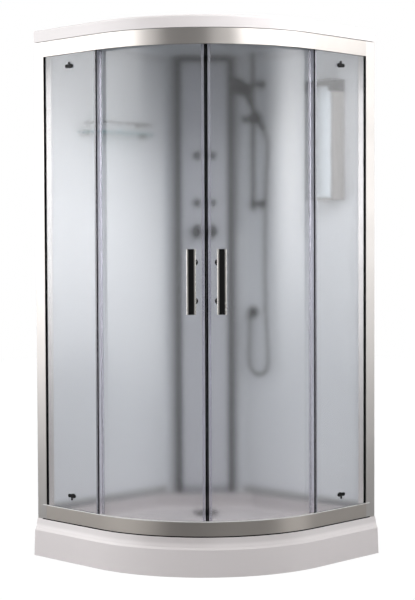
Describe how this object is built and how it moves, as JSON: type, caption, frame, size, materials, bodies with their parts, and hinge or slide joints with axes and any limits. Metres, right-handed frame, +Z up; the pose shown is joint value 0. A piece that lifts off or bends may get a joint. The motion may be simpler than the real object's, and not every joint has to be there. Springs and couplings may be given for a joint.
{
  "type": "corner shower cabin",
  "caption": "Quarter-round corner shower cabin with curved sliding frosted-glass doors, low tray, wall panels, roof, hand shower on a rail, shelf and mirror.",
  "frame": {"origin": "on the floor under the middle of the tray's square outline", "axes": "+Z up; the rear corner is at -X, +Y; the left room wall is the plane -X and the right room wall the plane +Y; the rounded front and the doors' seam face +X, -Y"},
  "size_m": [1, 1, 2.14],
  "materials": {
    "white_acrylic": "glossy white",
    "white_panel": "semi-gloss white",
    "dark_trim": "satin dark grey",
    "satin_aluminium": "satin anodised",
    "frosted_glass": "frosted, with a satin outer face",
    "black_rubber": "matt black",
    "clear_seal": "translucent, clear",
    "black_plastic": "satin black",
    "satin_handle": "satin anodised",
    "plated_zinc": "zinc plated",
    "white_plastic": "moulded white",
    "galvanised_steel": "galvanised",
    "grey_plastic": "moulded grey",
    "plated_plastic": "chrome-plated plastic",
    "chrome": "polished",
    "silver_hose": "smooth silver sleeve",
    "shelf_glass": "clear with green edges",
    "mirror": "silvered",
    "brass": "cast and machined"
  },
  "bodies": {
    "cabin": {"tray": "white_acrylic", "roof_cover": "white_acrylic", "left_wall_panel": "white_panel", "right_wall_panel": "white_panel", "corner_column": "white_panel", "ceiling_panel": "white_panel", "wall_trims": "dark_trim", "left_jamb": "satin_aluminium", "right_jamb": "satin_aluminium", "bottom_rail": "satin_aluminium", "top_rail": "satin_aluminium", "left_fixed_glass": "frosted_glass", "right_fixed_glass": "frosted_glass", "rubber_gaskets": "black_rubber", "fixed_edge_seals": "clear_seal", "glass_clips": "black_plastic", "mirror_housing": "white_plastic", "support_frame": "galvanised_steel", "levelling_feet": "galvanised_steel", "waste_trap": "grey_plastic", "supply_pipes": "grey_plastic", "waste_cover": "plated_plastic", "riser_brackets": "plated_plastic", "massage_jets": "plated_plastic", "riser_tube": "chrome", "shelf_brackets": "chrome", "shelf_guard_rail": "chrome", "outlet_hose_nut": "chrome", "wall_outlet": "chrome", "shower_hose": "silver_hose", "shelf_glass": "shelf_glass", "mirror_glass": "mirror", "mixer_valve": "brass"},
    "left_door": {"left_door_glass": "frosted_glass", "left_magnet_strip": "black_rubber", "left_door_seals": "clear_seal", "left_handle": "satin_handle", "left_handle_inlay": "black_plastic", "left_handle_mounts": "black_plastic", "left_roller_hangers": "plated_zinc", "left_guide_shoes": "white_plastic"},
    "left_leading_wheel": {"left_leading_wheel": "white_plastic"},
    "left_trailing_wheel": {"left_trailing_wheel": "white_plastic"},
    "right_door": {"right_door_glass": "frosted_glass", "right_magnet_strip": "black_rubber", "right_door_seals": "clear_seal", "right_handle": "satin_handle", "right_handle_inlay": "black_plastic", "right_handle_mounts": "black_plastic", "right_roller_hangers": "plated_zinc", "right_guide_shoes": "white_plastic"},
    "right_leading_wheel": {"right_leading_wheel": "white_plastic"},
    "right_trailing_wheel": {"right_trailing_wheel": "white_plastic"},
    "slider": {"rail_slider": "plated_plastic"},
    "handset": {"handset_holder": "plated_plastic", "hand_shower": "plated_plastic", "spray_face": "black_plastic", "handset_hose_nut": "chrome"},
    "mixer_knob": {"mixer_knob": "plated_plastic"},
    "diverter_knob": {"diverter_knob": "plated_plastic"}
  },
  "joints": [
    {"name": "left_door_slide", "type": "hinge", "parent": "cabin", "child": "left_door", "pos_m": [-0.121, 0.121, 1.1], "axis": [0, 0, -1], "range_deg": [0, 25]},
    {"name": "left_leading_wheel_roll", "type": "hinge", "parent": "left_door", "child": "left_leading_wheel", "pos_m": [0.25243, -0.31623, 2.0663], "axis": [0.6494, -0.7604, 0], "range_deg": [0, 1440]},
    {"name": "left_trailing_wheel_roll", "type": "hinge", "parent": "left_door", "child": "left_trailing_wheel", "pos_m": [0.10367, -0.40829, 2.0663], "axis": [0.3907, -0.9205, 0], "range_deg": [0, 1440]},
    {"name": "right_door_slide", "type": "hinge", "parent": "cabin", "child": "right_door", "pos_m": [-0.121, 0.121, 1.1], "axis": [0, 0, 1], "range_deg": [0, 25]},
    {"name": "right_leading_wheel_roll", "type": "hinge", "parent": "right_door", "child": "right_leading_wheel", "pos_m": [0.31623, -0.25243, 2.0663], "axis": [0.7604, -0.6494, 0], "range_deg": [-1440, 0]},
    {"name": "right_trailing_wheel_roll", "type": "hinge", "parent": "right_door", "child": "right_trailing_wheel", "pos_m": [0.40829, -0.10367, 2.0663], "axis": [0.9205, -0.3907, 0], "range_deg": [-1440, 0]},
    {"name": "slider_height", "type": "slide", "parent": "cabin", "child": "slider", "axis": [0, 0, 1], "range_m": [-0.325, 0.06], "deforming": ["shower_hose"]},
    {"name": "handset_tilt", "type": "hinge", "parent": "slider", "child": "handset", "pos_m": [-0.064, 0.385, 1.812], "axis": [1, 0, 0], "range_deg": [-20, 20], "deforming": ["shower_hose"]},
    {"name": "mixer_turn", "type": "hinge", "parent": "cabin", "child": "mixer_knob", "pos_m": [-0.33029, 0.2808, 1.328], "axis": [0.7071, -0.7071, 0], "range_deg": [-60, 60]},
    {"name": "diverter_turn", "type": "hinge", "parent": "cabin", "child": "diverter_knob", "pos_m": [-0.2808, 0.33029, 1.328], "axis": [0.7071, -0.7071, 0], "range_deg": [-90, 90]}
  ],
  "couplings": [
    {"joint": "left_leading_wheel_roll", "follows": "left_door_slide", "ratio": 57.5},
    {"joint": "left_trailing_wheel_roll", "follows": "left_door_slide", "ratio": 57.5},
    {"joint": "right_leading_wheel_roll", "follows": "right_door_slide", "ratio": -57.5},
    {"joint": "right_trailing_wheel_roll", "follows": "right_door_slide", "ratio": -57.5}
  ]
}
